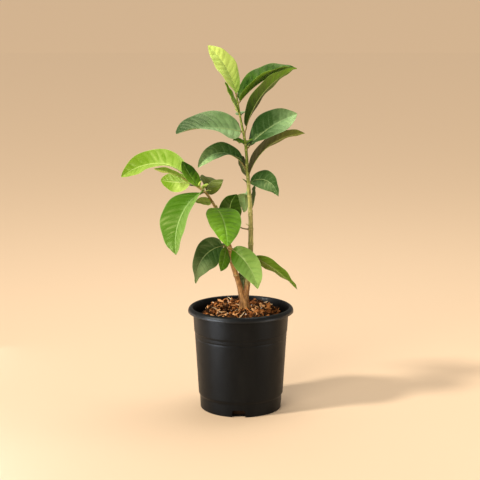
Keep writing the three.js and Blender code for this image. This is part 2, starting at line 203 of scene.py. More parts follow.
def blend(tree, share, first, second, mode="MIX"):
    """Two colours mixed. Each is a colour or a socket, and share is a number or a socket."""
    made = node(tree, "ShaderNodeMix", data_type="RGBA", blend_type=mode)
    ends = ((made.inputs["Factor"], share), (made.inputs[6], first), (made.inputs[7], second))
    for socket, value in ends:
        if isinstance(value, bpy.types.NodeSocket):
            tree.links.new(value, socket)
        elif isinstance(value, (int, float)):
            socket.default_value = value
        else:
            socket.default_value = (*value, 1)
    return made.outputs[2]


def attribute(tree, name):
    return node(tree, "ShaderNodeAttribute", attribute_name=name).outputs["Fac"]


def bump(tree, shader, height, strength, distance):
    made = node(tree, "ShaderNodeBump", Height=height, Strength=strength, Distance=distance)
    tree.links.new(made.outputs["Normal"], shader.inputs["Normal"])


def colour_in(tree, shader, socket):
    tree.links.new(socket, shader.inputs["Base Color"])


# %% [markdown]
# The pot is blown or injection-moulded polypropylene, 204 mm across the rim and 200 mm tall. It
# is a solid of revolution, so one could spin its profile. Here the underside is a disc, and its
# edge is extruded ring by ring up the outside, over the rolled lip and down the inside, because
# that is how one thinks along the wall: foot, foot band, ledge, neck, lip.

# %% The pot's profile
POT_HEIGHT, NECK_HEIGHT = 200, 190
RIM_RADIUS, NECK_RADIUS, FOOT_RADIUS = 102, 92.4, 79
WALL, FLOOR = 2, 3
RING_HEIGHT, RING_STEP = 153, 0.8
GROOVE_HEIGHT, GROOVE_DEPTH = 142, 0.35
FOOT_BAND, FOOT_STEP = 27, 2
POT_SIDES = 192


def outer_radius(z):
    ledge = RING_STEP if z < RING_HEIGHT else 0
    slope = (NECK_RADIUS - FOOT_RADIUS - FOOT_STEP) / NECK_HEIGHT
    return FOOT_RADIUS + FOOT_STEP + slope * z - ledge


def inner_radius(z):
    return outer_radius(z) - WALL - RING_STEP


def on_wall(height, out=0, at=None):
    """A ring at a height: as wide as the wall is there, or at another height, and a bit out."""
    return outer_radius(at or height) + out, height


foot_rings = [(77.1, 0.2), (78.3, 0.9), (78.8, 1.8), (FOOT_RADIUS, 3)]
band_rings = [
    on_wall(FOOT_BAND - 4, -FOOT_STEP), on_wall(FOOT_BAND - 1, -FOOT_STEP, FOOT_BAND),
    on_wall(FOOT_BAND, 0.5 - FOOT_STEP), on_wall(FOOT_BAND + 1.6, -0.5, FOOT_BAND),
    on_wall(FOOT_BAND + 3), on_wall(FOOT_BAND + 6), on_wall(80),
]
groove_rings = [
    on_wall(GROOVE_HEIGHT - 4), on_wall(GROOVE_HEIGHT - 1), on_wall(GROOVE_HEIGHT, -GROOVE_DEPTH),
    on_wall(GROOVE_HEIGHT + 1), on_wall(GROOVE_HEIGHT + 4),
]
ledge_rings = [
    on_wall(RING_HEIGHT - 4), on_wall(RING_HEIGHT - 1.4),
    on_wall(RING_HEIGHT - 0.9, 0.3, RING_HEIGHT - 1), on_wall(RING_HEIGHT - 0.4, -0.1, RING_HEIGHT),
    on_wall(RING_HEIGHT + 0.2, 0, RING_HEIGHT), on_wall(RING_HEIGHT + 3), on_wall(184),
]
lip_rings = [
    (NECK_RADIUS, 188), (NECK_RADIUS + 0.2, 194), (93.4, 196.2), (94.6, 197), (98, 196.6),
    (99.8, 195), (100.3, 190.6), (100.7, 190.1), (101.4, 190), (101.9, 190.5), (RIM_RADIUS, 191.4),
    (101.9, 193.2), (101.3, 195.2), (100.2, 197.1), (98.8, 198.6), (97.4, 199.6),
    (96.2, POT_HEIGHT), (95, 199.8), (93.9, 199), (92.8, 197.3), (91.4, 193.8),
]
inside_rings = [(inner_radius(z), z) for z in (189, 170, RING_HEIGHT, 100, 60, FOOT_BAND)]
floor_rings = [(75.3, 8), (75, 5), (73.8, FLOOR + 0.5), (72, FLOOR)]
profile = [
    *foot_rings, *band_rings, *groove_rings, *ledge_rings, *lip_rings, *inside_rings, *floor_rings,
]
print("pot profile of", len(profile), "rings, widest", 2 * max(r for r, z in profile), "mm")

# %% Extrude the pot ring by ring
def activate(piece):
    deselect()
    piece.select_set(True)
    bpy.context.view_layer.objects.active = piece


def modify(piece, kind, **settings):
    """A modifier of a kind, given its settings and applied at once."""
    activate(piece)
    added_one = piece.modifiers.new(kind.lower(), kind)
    for name, value in settings.items():
        setattr(added_one, name, value)
    bpy.ops.object.modifier_apply(modifier=added_one.name)


def smooth(piece):
    activate(piece)
    bpy.ops.object.shade_smooth()


def extrude_rings(name, sides, base_radius, base_height, rings):
    """A disc whose edge is extruded through the rings (radius, height), and closed by a disc."""
    deselect()
    bpy.ops.mesh.primitive_circle_add(
        vertices=sides, radius=base_radius * MM, fill_type="NGON", location=(0, 0, base_height * MM)
    )
    made = bpy.context.object
    made.name = made.data.name = name
    bpy.ops.object.transform_apply(location=True, rotation=True, scale=True)
    bpy.ops.object.mode_set(mode="EDIT")
    bpy.ops.mesh.select_mode(type="EDGE")
    radius, height = base_radius, base_height
    for next_radius, next_height in rings:
        share = next_radius / radius
        rise = (next_height - height) * MM
        bpy.ops.mesh.extrude_edges_move(TRANSFORM_OT_translate={"value": (0, 0, rise)})
        bpy.ops.transform.resize(value=(share, share, 1), center_override=(0, 0, next_height * MM))
        radius, height = next_radius, next_height
    bpy.ops.mesh.edge_face_add()
    bpy.ops.mesh.select_all(action="SELECT")
    bpy.ops.mesh.remove_doubles(threshold=1e-6)
    bpy.ops.mesh.normals_make_consistent(inside=False)
    bpy.ops.object.mode_set(mode="OBJECT")
    return made


pot = extrude_rings("nursery_pot", POT_SIDES, 76, 0, profile)
print("pot before its notches:", len(pot.data.polygons), "faces")

# %% [markdown]
# Four drain notches break the foot. Each is the shape of a low arch, so a block with its upper
# edges rounded is cut away, once, with a Boolean modifier that is then applied.

# %% Cut the drain notches
NOTCH_WIDTH, NOTCH_HEIGHT, NOTCH_ROUND, NOTCH_DEPTH = 25, 14, 4, 9
FRONT_NOTCH_HEADING = 267


def notch_cutter(heading):
    deselect()
    reach, below = NOTCH_DEPTH + 5, 6
    middle = ((FOOT_RADIUS - NOTCH_DEPTH + reach / 2) * MM, 0, (NOTCH_HEIGHT - below) / 2 * MM)
    bpy.ops.mesh.primitive_cube_add(size=1, location=middle)
    block = bpy.context.object
    block.scale = (reach * MM, NOTCH_WIDTH * MM, (NOTCH_HEIGHT + below) * MM)
    bpy.ops.object.transform_apply(location=True, rotation=True, scale=True)
    bpy.ops.object.mode_set(mode="EDIT")
    bpy.ops.mesh.select_mode(type="EDGE")
    shape = bmesh.from_edit_mesh(block.data)
    top = NOTCH_HEIGHT * MM - 1e-5
    for edge in shape.edges:
        lies_along_x = abs(edge.verts[0].co.x - edge.verts[1].co.x) > 1e-3
        edge.select_set(lies_along_x and all(v.co.z > top for v in edge.verts))
    bmesh.update_edit_mesh(block.data)
    bpy.ops.mesh.bevel(offset=NOTCH_ROUND * MM, segments=5)
    bpy.ops.mesh.select_all(action="SELECT")
    bpy.ops.transform.rotate(
        value=-math.radians(heading), orient_axis="Z", center_override=(0, 0, 0)
    )
    bpy.ops.object.mode_set(mode="OBJECT")
    return block


cutters = [notch_cutter(FRONT_NOTCH_HEADING + 90 * k) for k in range(4)]
for cutter in cutters:
    middle = sum((Vector(v.co) for v in cutter.data.vertices), Vector()) / len(cutter.data.vertices)
    print("notch at heading", round(math.degrees(math.atan2(middle.y, middle.x))) % 360)
    modify(pot, "BOOLEAN", operation="DIFFERENCE", solver="EXACT", object=cutter)
    bpy.data.objects.remove(cutter, do_unlink=True)

activate(pot)
bpy.ops.object.shade_smooth_by_angle(angle=math.radians(32))
print("pot with its notches:", len(pot.data.polygons), "faces")

# %% [markdown]
# Nursery plastic is nearly black, satin rather than shiny, with the fine grain of a worn mould.
# Handling and watering leave faint pale streaks, and the rolled lip is rubbed the shiniest.

# %% The pot's plastic
def set_float(mesh, name, values):
    """A number at each vertex of a mesh, for its finish to read."""
    made = mesh.attributes.new(name, "FLOAT", "POINT")
    made.data.foreach_set("value", np.asarray(values, np.float32))


def is_lip(place):
    out = math.hypot(place.x, place.y)
    return place.z > (NECK_HEIGHT - 0.5) * MM and out > (NECK_RADIUS + 0.4) * MM


on_lip = [is_lip(vertex.co) for vertex in pot.data.vertices]
set_float(pot.data, "lip", on_lip)
plastic, tree, shader = finish("pot_plastic", (0.004, 0.004, 0.0042), 0.4, tint=(0.80, 0.90, 1.0))
place = object_place(tree)
smears = speckle(tree, object_place(tree, (1, 1, 0.25)), 38, 5, 0.62)
streaks = ramp(tree, smears, 0.42, 0.75, 0, 0.75)
colour_in(tree, shader, blend(tree, streaks, (0.0030, 0.0031, 0.0034), (0.0075, 0.0073, 0.0072)))
wear = ramp(tree, speckle(tree, place, 55, 4), 0.3, 0.7, 0.36, 0.46)
tree.links.new(wear, shader.inputs["Roughness"])
shine = ramp(tree, attribute(tree, "lip"), 0, 1, 0.14, 0.34)
tree.links.new(shine, shader.inputs["Specular IOR Level"])
bump(tree, shader, speckle(tree, place, 1600, 2), 0.12, 0.0004)
pot.data.materials.append(plastic)
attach(pot, "root")
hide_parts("pot")

# %% [markdown]
# The soil is a mound of bark chips, fibre and compost. Its body is one lump, made like the pot by
# extruding a disc, whose top is then roughened with noise. What the eye sees is the litter on
# top: about a thousand loose bits. Three kinds of bit are each a small function that takes a size,
# and a seeded rule sizes, turns and lays them down. They are joined into one mesh, because the bits
# never move.

# %% The soil's body
MOUND_FLAT, MOUND_TOP, MOUND_EDGE, MOAT_WIDTH = 56, 193, 180, 16
LITTER_DEPTH = 2.5
edge_radius = inner_radius(MOUND_EDGE) - 0.3


def mound_height(r):
    """The height of the soil at a distance from the pot's middle."""
    mound = edge_radius - MOAT_WIDTH
    radii = [0, MOUND_FLAT, (mound + MOUND_FLAT) / 2, mound, edge_radius]
    heights = [MOUND_TOP, MOUND_TOP, MOUND_TOP - 3, MOUND_EDGE + 3, MOUND_EDGE]
    return np.interp(r, radii, heights) - LITTER_DEPTH


def heap(x, y):
    """How much higher the mound is heaped behind the trunk than in front of it."""
    inside = np.clip((edge_radius - MOAT_WIDTH + 6 - math.hypot(x, y)) / 10, 0, 1)
    return float(4.5 * inside * np.clip((y + 5) / 50, 0, 1))


under_rings = [(68, 15), (inner_radius(FOOT_BAND) - 2.3, 18), (inner_radius(FOOT_BAND) - 0.3, 29)]
side_rings = [(inner_radius(z) - 0.3, z) for z in (80, 130, 165, MOUND_EDGE - LITTER_DEPTH)]
top_rings = [(r, float(mound_height(r))) for r in np.arange(edge_radius - 3, 2, -2.0)]
soil = extrude_rings("bark_soil", 128, 67.5, 3.3, [*under_rings, *side_rings, *top_rings])
for vertex in soil.data.vertices:
    x, y, z = vertex.co
    if z > (MOUND_EDGE - 6) * MM and math.hypot(x, y) < (edge_radius - 1) * MM:
        vertex.co.z += 1.6 * MM * noise.fractal(Vector((x, y, 0)) * 160, 1.0, 2.0, 4)
        vertex.co.z += heap(x / MM, y / MM) * MM
smooth(soil)
print("soil body:", len(soil.data.polygons), "faces")

# %% Bits of bark, fibre and perlite
rng = np.random.default_rng(20)


def wall_faces(rings, sides):
    """The faces between the rings of a tube whose points lie ring after ring."""
    first = np.arange(rings - 1)[:, None] * sides
    a, n = first + np.arange(sides), first + (np.arange(sides) + 1) % sides
    return np.stack([a, n, n + sides, a + sides], -1).reshape(-1, 4)


def tube_faces(rings, sides):
    """The faces of a tube and of its two flat ends."""
    ends = [list(range(sides))[::-1], list(range((rings - 1) * sides, rings * sides))]
    return wall_faces(rings, sides).tolist() + ends


def slab(length, width, height):
    """A rough flake: two rings of six points, narrow at the ends, thinner than wide."""
    x = np.array([-0.5, -0.25, 0.25, 0.5, 0.22, -0.28]) * length
    y = np.array([0, -0.5, -0.42, 0.05, 0.5, 0.38]) * width
    ring = np.c_[x, y, np.zeros(6)]
    bow = np.c_[np.zeros(6), np.zeros(6), 0.25 * height * np.cos(x / length * math.pi)]
    top = ring * (0.82, 0.8, 1) + bow + (0, 0, height / 2)
    return np.vstack([ring + bow - (0, 0, height / 2), top]), tube_faces(2, 6)


def fibre(length, width, height):
    """A curved splinter: five rings of four points, pointed at both ends."""
    rings = []
    for share in np.linspace(0, 1, 5):
        thin = max(0.15, math.sin(math.pi * share))
        middle = np.array([(share - 0.5) * length, 0.16 * length * math.sin(math.pi * share), 0])
        square = np.array([[0, -1, -1], [0, 1, -1], [0, 1, 1], [0, -1, 1]]) * thin / 2
        rings.append(middle + square * (0, width, height))
    return np.vstack(rings), tube_faces(5, 4)


def crumb(length, width, height):
    """A lump: an eight-sided double cone with an uneven waist."""
    angle = np.arange(8) * math.pi / 4
    uneven = (1 + 0.18 * np.sin(3 * angle + 1)) / 2
    waist = np.c_[np.cos(angle) * uneven * length, np.sin(angle) * uneven * width, 0 * angle]
    end, rise = waist * 0.62, np.array([0, 0, height * 0.38])
    return np.vstack([end - rise, waist, end + rise]), tube_faces(3, 8)


def turned(points, yaw, pitch, roll):
    """points turned about x, then y, then z."""
    return points @ np.array(Euler((roll, pitch, yaw)).to_matrix()).T


class Pile:
    """Parts in millimetres, gathered to be one mesh, each with the index of its material slot."""

    def __init__(self):
        self.parts, self.faces, self.slots, self.count = [], [], [], 0

    def add(self, points, faces, slot=0):
        self.parts.append(points)
        self.faces += [[k + self.count for k in face] for face in faces]
        self.slots += [slot] * len(faces)
        self.count += len(points)

    def made(self, name):
        mesh = bpy.data.meshes.new(name)
        mesh.from_pydata((np.vstack(self.parts) * MM).tolist(), [], self.faces)
        mesh.polygons.foreach_set("material_index", np.array(self.slots, np.int32))
        mesh.update()
        piece = bpy.data.objects.new(name, mesh)
        bpy.context.collection.objects.link(piece)
        print(name, "joined from", len(self.parts), "parts with", len(self.faces), "faces")
        return piece


print("flake of", len(slab(10, 5, 1)[1]), "faces, splinter of", len(fibre(10, 1, 1)[1]))

# %% [markdown]
# The litter is laid down from a seeded list of draws: how far from the middle, which way, how
# steep, how large and of which colour. Bits nearer the trunk lie higher, as the mound does.

# %% Lay the litter on the mound
TRUNK_X, TRUNK_CLEAR = 6.5, 11
MOUND_REACH = edge_radius - MOAT_WIDTH
LITTER = [
    # shape, how many, length, width, height, steepest tilt, colours
    (slab, 430, (9, 19), (4.5, 8.5), (1.6, 3.0), 55, (0, 0, 0, 1, 1, 2, 2, 3)),
    (crumb, 560, (3, 6.5), (2.5, 5), (2, 4), 40, (0, 0, 0, 0, 1, 2)),
    (fibre, 300, (11, 24), (1.4, 2.8), (1.0, 1.8), 45, (0, 0, 1, 1, 2, 2, 3, 4)),
]
LIFT = (0.2, 6.0)


def dropped(reach):
    """A seeded place on the mound: its distance from the pot's middle, x and y."""
    r = reach * math.sqrt(rng.uniform(0, 1))
    angle = rng.uniform(0, 2 * math.pi)
    return r, r * math.cos(angle), r * math.sin(angle)


def laid(bit, r, x, y, lift):
    return bit + (x, y, float(mound_height(r)) + heap(x, y) + lift)


pile = Pile()
for shape, number, lengths, widths, heights, tilt, colours in LITTER:
    steep = math.radians(tilt)
    for _ in range(number):
        r, x, y = dropped(edge_radius - 3)
        bit, bit_faces = shape(rng.uniform(*lengths), rng.uniform(*widths), rng.uniform(*heights))
        yaw, pitch, roll = rng.uniform((0, -steep, -steep), (2 * math.pi, steep, steep))
        bit = turned(bit, yaw, pitch, roll)
        lift = rng.uniform(*LIFT)
        slot = int(rng.choice(colours))
        if math.hypot(x - TRUNK_X, y) < TRUNK_CLEAR or (r > MOUND_REACH and shape is not crumb):
            continue
        # Bits in the moat by the wall all take the darkest colour, as painted shade, and lie lower
        if r > MOUND_REACH:
            slot, lift = 0, lift / 3
        bit = laid(bit, r, x, y, lift)
        reach = np.hypot(bit[:, 0], bit[:, 1]).max()
        if reach > edge_radius:
            bit[:, :2] *= edge_radius / reach
        pile.add(bit, bit_faces, slot)
litter = pile.made("bark_litter")

# %% White crumbs of perlite
PERLITE_CRUMBS, PERLITE_SIZE, PERLITE_LIFT = 16, (1.8, 3.6), (2.6, 4.4)
pile = Pile()
for _ in range(PERLITE_CRUMBS):
    r, x, y = dropped(MOUND_REACH - 3)
    size = rng.uniform(*PERLITE_SIZE)
    bit, bit_faces = crumb(size, size * rng.uniform(0.7, 1), size * rng.uniform(0.7, 1))
    bit = turned(bit, rng.uniform(0, 6), rng.uniform(-1, 1), rng.uniform(-1, 1))
    lift = rng.uniform(*PERLITE_LIFT)
    if math.hypot(x - TRUNK_X, y) >= TRUNK_CLEAR:
        pile.add(laid(bit, r, x, y, lift), bit_faces)
perlite = pile.made("perlite_crumbs")

# %% [markdown]
# Bark mix is dark compost under chips that run from near black through red-brown to dry straw.
# Each bit has one plain colour of five, and a fine noise breaks that up within the bit.

# %% The soil's finishes
def litter_finish(name, dark, light, roughness=0.85):
    made, tree, shader = finish(name, dark, roughness, 0.18)
    cloud = speckle(tree, object_place(tree), 420, 4, 0.65)
    colour_in(tree, shader, blend(tree, ramp(tree, cloud, 0.32, 0.68), dark, light))
    bump(tree, shader, speckle(tree, object_place(tree), 1300, 3), 0.5, 0.0006)
    return made


compost = litter_finish("compost", (0.010, 0.006, 0.004), (0.045, 0.024, 0.012), 0.95)
soil.data.materials.append(compost)
for name, dark, light in (
    ("bark_dark", (0.012, 0.004, 0.001), (0.050, 0.018, 0.004)),
    ("bark_brown", (0.085, 0.026, 0.006), (0.25, 0.085, 0.022)),
    ("bark_red", (0.24, 0.080, 0.020), (0.56, 0.22, 0.065)),
    ("bark_tan", (0.48, 0.22, 0.080), (0.80, 0.44, 0.20)),
    ("fibre_straw", (0.62, 0.42, 0.24), (0.86, 0.68, 0.45)),
):
    litter.data.materials.append(litter_finish(name, dark, light))
white = litter_finish("perlite_white", (0.62, 0.60, 0.56), (0.82, 0.80, 0.76))
perlite.data.materials.append(white)
for piece in (soil, litter, perlite):
    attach(piece, "root")
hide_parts("soil")

# %% [markdown]
# Two stems rise from one foot. Each is a smooth curve through a few named heights, the same rule
# as in the solids: x and y are functions of the height, and the radius tapers from foot to tip.
# Writing the rule again here, and not reading points off the solids, keeps bark and leaves on
# one exact line.

# %% The stems' rule
class Stem:
    def __init__(self, places, radius, tip_radius, ease):
        self.places = np.array(places, float)
        self.radius, self.tip_radius, self.ease = radius, tip_radius, ease

    def slope(self, k):
        after, before = min(k + 1, len(self.places) - 1), max(k - 1, 0)
        step = self.places[after] - self.places[before]
        return step / step[0]

    def point(self, z):
        below = np.searchsorted(self.places[:, 0], z, side="right") - 1
        k = int(np.clip(below, 0, len(self.places) - 2))
        start, end = self.places[k], self.places[k + 1]
        span = end[0] - start[0]
        t = (z - start[0]) / span
        made = (2 * t**3 - 3 * t**2 + 1) * start + (t**3 - 2 * t**2 + t) * span * self.slope(k)
        made = made + (3 * t**2 - 2 * t**3) * end + (t**3 - t**2) * span * self.slope(k + 1)
        return np.array([made[1], made[2], z])

    def tangent(self, z):
        ahead = self.point(z + 0.5) - self.point(z - 0.5)
        return ahead / np.linalg.norm(ahead)

    def radius_at(self, z):
        foot, top = self.places[0, 0], self.places[-1, 0]
        share = np.clip((z - foot) / (top - foot), 0, 1)
        return self.radius + (self.tip_radius - self.radius) * share**self.ease


leader = Stem(
    [(200, 8, 0), (245, 13, 1), (285, 17, 1), (318, 19, 0), (381, 18.5, 0),
     (446, 14, 1), (512, 9, 0), (560, 0, 0), (605, -8, -3)],
    5.8, 1.5, 1.0,
)
left_stem = Stem(
    [(200, 6, 0), (246, -4, -2), (288, -17, -6), (320, -22, -9),
     (380, -41, -20), (411, -56, -27), (429, -70, -32), (452, -104, -38)],
    6.5, 1.6, 0.8,
)
print("stems end at", leader.point(605).round(1), left_stem.point(452).round(1))

# %% [markdown]
# A leaf is one curved midrib: first the stalk, then the blade. Its pitch falls, its heading
# swings and its roll twists evenly from stem to tip. The table gives those numbers for every
# leaf, in the solids' order. Four leaves of the upper leader differ from their solids, one of them
# by 21 mm at its tip. The last four columns are the leaf's colours, how far it is towards the
# pale one, and how that changes towards the tip and from one half to the other. They are partly
# the leaf's own tone and partly painted light and shade: sunlit and shaded halves, shadows cast by
# other leaves and a painted sheen towards some tips. Most rows weren't chosen by hand: a solver
# fitted the angles and sizes to outlines traced on a photograph, and the colour columns to its
# tones, and they were then rounded and some adjusted.

# %% The table of leaves
COLUMNS = (
    "height heading rise droop sway stalk length width roll twist fold colour lit tipward sideward"
).split()
LEAVES = {
    "low_left": [
        (318, 198, 3, 97, 28, 7, 101, 59, -60, -56, 17, "silver", 0.1, 1.4, 0.05),
        (318, 260, -48, -3, -12, 2, 56, 30, -77, 29, 5, "green", 0.35, 0.05, 0.0),
        (318, 125, 5, 70, 0, 4, 75, 42, 0, 0, 12, "green", 0.35, 0.3, 0.0),
    ],
    "low_front": [
        (312, 327, -26, 55, 22, 1, 94, 47, 75, -34, 12, "fresh", 0.5, 1.1, 0.1),
    ],
    "low_right": [
        (294, 3, -27, 22, 18, 1, 112, 44, -50, 49, 6, "lime", 0.15, 0.15, 0.15),
        (294, 140, -53, 41, 32, 4, 74, 26, 69, 0, 12, "deep", 0.0, 0.0, 0.0),
    ],
    "left_inner": [
        (397, 294, -11, 43, -19, 5, 108, 66, 1, 0, 12, "green", 0.6, -0.15, -0.25),
        (406, 207, 13, 15, 17, 3, 36, 20, -56, 21, 13, "lime", 0.65, 0.0, 0.0),
        (388, 98, -10, 75, -30, 6, 66, 34, 75, -24, 12, "deep", 0.3, 0.2, 0.0),
        (421, 94, 42, 65, -44, 3, 90, 45, 60, -71, 9, "deep", 0.45, 0.0, -0.05),
        (427, 228, -7, 94, 3, 6, 145, 87, 15, -13, 21, "fresh", 0.15, -0.15, 0.2),
    ],
    "left_outer": [
        (433, 165, 45, -20, 5, 3, 60, 34, -10, -45, 12, "green", 0.35, -1.2, 0.25),
        (436, 120, 20, 60, 0, 5, 75, 42, -10, 0, 12, "silver", 0.15, 0.1, 0.0),
        (434, 335, 38, 20, 0, 2, 18, 9, 25, 0, 12, "lime", 0.4, 0.3, 0.0),
        (443, 167, 4, 5, -32, 5, 67, 38, -75, -25, 13, "lime", 0.0, -1.2, 0.2),
        (446, 124, 39, 78, 53, 26, 149, 61, 15, -95, 26, "lime", 0.2, -0.45, 0.15),
        (452, 200, 30, 20, 0, 5, 60, 24, 0, 50, 12, "lime", 0.45, -0.2, -0.45),
    ],
    "leader_lower": [
        (351, 179, -8, -160, -49, 28, 73, 45, -70, 36, 6, "green", 0.0, -0.25, -0.05),
        (385, 65, 35, -15, 30, 3, 65, 33, -65, -50, 12, "silver", 0.0, -1.6, 0.25),
        (415, 125, 29, 161, -78, 3, 63, 34, -10, -62, 24, "silver", 1.0, 0.4, 0.0),
        (438, 334, 40, 108, -26, 4, 82, 38, 36, 64, 9, "silver", 0.0, -0.05, -0.1),
        (437, 160, 45, 10, 0, 2, 14, 7, 0, 0, 12, "green", 0.2, 0.2, 0.0),
    ],
    "leader_middle": [
        (451, 20, 73, 73, -20, 6, 141, 66, -25, -5, 12, "deep", 0.2, 1.2, 0.2),
        (453, 185, 82, 142, 17, 30, 100, 41, 6, -87, 35, "silver", 0.1, 0.7, 0.15),
        (450, 117, 47, 7, 0, 4, 53, 30, 72, 33, 5, "deep", 0.0, 0.0, 0.0),
    ],
    "leader_upper": [
        (503, 353, 52, 35, 25, 9, 112, 69, 9, 57, 16, "silver", 0.05, 1.0, -0.15),
        (508, 87, 20, 42, 23, 6, 84, 42, 14, 0, 12, "green", 0.3, 0.3, 0.0),
        (513, 200, 45, 50, 0, 2, 26, 14, -30, 0, 12, "green", 0.4, -0.8, 0.0),
        (513, 330, 45, 20, 0, 2, 18, 9, 30, 0, 12, "green", 0.25, 0.2, 0.0),
        (537, 196, 15, 27, 36, 4, 147, 85, -54, 65, 14, "silver", 0.35, -0.5, 0.25),
        (527, 4, 83, 60, 13, 20, 147, 61, -24, -15, 11, "green", 0.2, 1.0, -0.1),
    ],
    "leader_tip": [
        (568, 160, 60, -10, 15, 4, 66, 30, 10, -25, 12, "lime", 0.4, -1.6, 0.2),
        (568, 73, 12, 20, 5, 5, 62, 33, -20, 5, 12, "silver", 0.5, 0.8, 0.0),
        (590, 15, 53, 50, 9, 6, 134, 68, -3, 13, 35, "green", 0.5, 0.05, -0.45),
        (603, 194, 79, 37, -12, 6, 106, 52, -29, -41, 11, "lime", 0.9, 0.0, -0.05),
    ],
}
SPURS = {
    "low_left": (left_stem, 318, 200), "low_front": (left_stem, 312, 305),
    "low_right": (leader, 294, 20),
}
SHOOTS = {
    "left_inner": (left_stem, 430), "left_outer": (left_stem, 452), "leader_lower": (leader, 444),
    "leader_middle": (leader, 497), "leader_upper": (leader, 556), "leader_tip": (leader, 605),
}
print("leaves in the table:", sum(len(rows) for rows in LEAVES.values()))

# %% Where each leaf starts, and its midrib
SPUR_RISE, SPUR_STAND = 25, 2.5


def unit(pitch, heading):
    """Directions from a pitch above the level and a heading in plan, in degrees."""
    p, h = np.radians(pitch), np.radians(heading)
    return np.stack([np.cos(p) * np.cos(h), np.cos(p) * np.sin(h), np.sin(p)], -1)


def spur_tip(stem, height, heading):
    return stem.point(height) + unit(SPUR_RISE, heading) * (stem.radius_at(height) + SPUR_STAND)


def leaf_from(mass, row):
    leaf = dict(zip(COLUMNS, row))
    if mass in SPURS:
        leaf["start"] = spur_tip(*SPURS[mass])
    else:
        leaf["start"] = SHOOTS[mass][0].point(leaf["height"])
    return leaf


def frame_along(leaf, share):
    """The midrib's direction, the blade's side and its upper normal at shares of the length."""
    pitch = leaf["rise"] - leaf["droop"] * share
    heading = leaf["heading"] + leaf["sway"] * share
    along = unit(pitch, heading)
    level = unit(0 * heading, heading + 90)
    over = np.cross(along, level)
    roll = np.radians(leaf["roll"] + leaf["twist"] * share)[..., None]
    side = level * np.cos(roll) + over * np.sin(roll)
    return along, side, over * np.cos(roll) - level * np.sin(roll)


def on_midrib(leaf, share, steps=192):
    """Points of the midrib at shares of its whole length, which is summed up in small steps."""
    total = leaf["stalk"] + leaf["length"]
    moves = frame_along(leaf, (np.arange(steps) + 0.5) / steps)[0] * total / steps
    line = np.vstack([np.zeros(3), np.cumsum(moves, axis=0)]) + leaf["start"]
    shares = np.linspace(0, 1, steps + 1)
    return np.stack([np.interp(share, shares, line[:, axis]) for axis in range(3)], -1)


all_leaves = {mass: [leaf_from(mass, row) for row in rows] for mass, rows in LEAVES.items()}
tips = np.array([on_midrib(leaf, 1.0) for leaves in all_leaves.values() for leaf in leaves])
print("leaf tips reach from", tips.min(0).round(), "to", tips.max(0).round())

# %% [markdown]
# Small buds sit in some leaf axils. The solids deal them out with a seeded rule, a plain
# congruential generator, so the same few lines here give the same buds.

# %% The buds' rule
BUD_SEED, BUD_CHANCE, BUD_ROOM, BUD_ABOVE_LEAF = 7, 0.4, 16, 3
BUD = {
    "width": 4, "stalk": 1, "droop": 0, "sway": 0, "roll": 0, "twist": 0, "fold": 12,
    "colour": "bud", "lit": 0.5, "tipward": 0.3, "sideward": 0,
}


def seeded(seed):
    state = seed
    while True:
        state = (state * 1103515245 + 12345) % 2**31
        yield state / 2**31


draws = seeded(BUD_SEED)


def between(low, high):
    return low + (high - low) * next(draws)


for mass, (stem, top) in SHOOTS.items():
    buds = []
    for leaf in all_leaves[mass]:
        grows = next(draws) < BUD_CHANCE
        bud = BUD | {
            "height": leaf["height"] + BUD_ABOVE_LEAF,
            "heading": leaf["heading"] + between(-15, 15),
            "length": between(9, 14), "rise": between(35, 55),
        }
        bud["start"] = stem.point(bud["height"])
        if grows and bud["height"] + BUD_ROOM < top:
            buds.append(bud)
    all_leaves[mass] += buds

# A tuft of opening shoots on the leaning stem, too fine for the solids: height, heading, pitch,
# length and width of each
TUFT = [
    (428, 340, 20, 12, 5.5), (430, 10, 58, 14, 6), (431, 60, 35, 12, 5), (433, 320, 52, 11, 5),
    (434, 100, 60, 10, 4.5), (437, 20, 66, 12, 5), (440, 200, 50, 9, 4),
]
for height, heading, pitch, length, width in TUFT:
    all_leaves["left_outer"].append(BUD | {
        "height": height, "heading": heading, "rise": pitch, "droop": 25, "sway": 20, "stalk": 2,
        "length": length, "width": width, "twist": 10, "fold": 20, "lit": 0.6,
        "start": left_stem.point(height),
    })
print("buds:", sum(leaf["colour"] == "bud" for leaves in all_leaves.values() for leaf in leaves))

# %% [markdown]
# The blade is a thin closed skin laid out on its own grid. Its rows leave the midrib and sweep
# towards the tip as the side veins do, so that the veins can be pressed in along them, with the
# blade puffed up a little between two veins. Its columns are close together at the midrib and at
# the rim. A sculpted leaf would do as well, but 35 of them need a rule.

# %% The blade's mesh
COLUMN_SHARES = np.array(
    [0, 0.025, 0.06, 0.12, 0.2, 0.3, 0.41, 0.53, 0.65, 0.76, 0.86, 0.94, 0.985, 1.0]
)
ACROSS = np.concatenate([-COLUMN_SHARES[:0:-1], COLUMN_SHARES])
FOOT_POWER, TIP_POWER = 0.6, 0.85
ROWS_PER_VEIN = 7
BLADE_THICKNESS = 0.5
VEINS_PER_MM, FEWEST_VEINS, MOST_VEINS = 0.055, 3, 12
VEIN_SWEEP = 0.52
VEIN_DEPTH, SWELL_HEIGHT, RIB_DEPTH, RIM_WAVE = 0.9, 0.5, 0.35, 1.1


def outline(share):
    """Share of the full half width at a share of the blade's length."""
    widest = FOOT_POWER / (FOOT_POWER + TIP_POWER)
    reach = lambda at: at**FOOT_POWER * (1 - at) ** TIP_POWER
    return reach(share) / reach(widest)


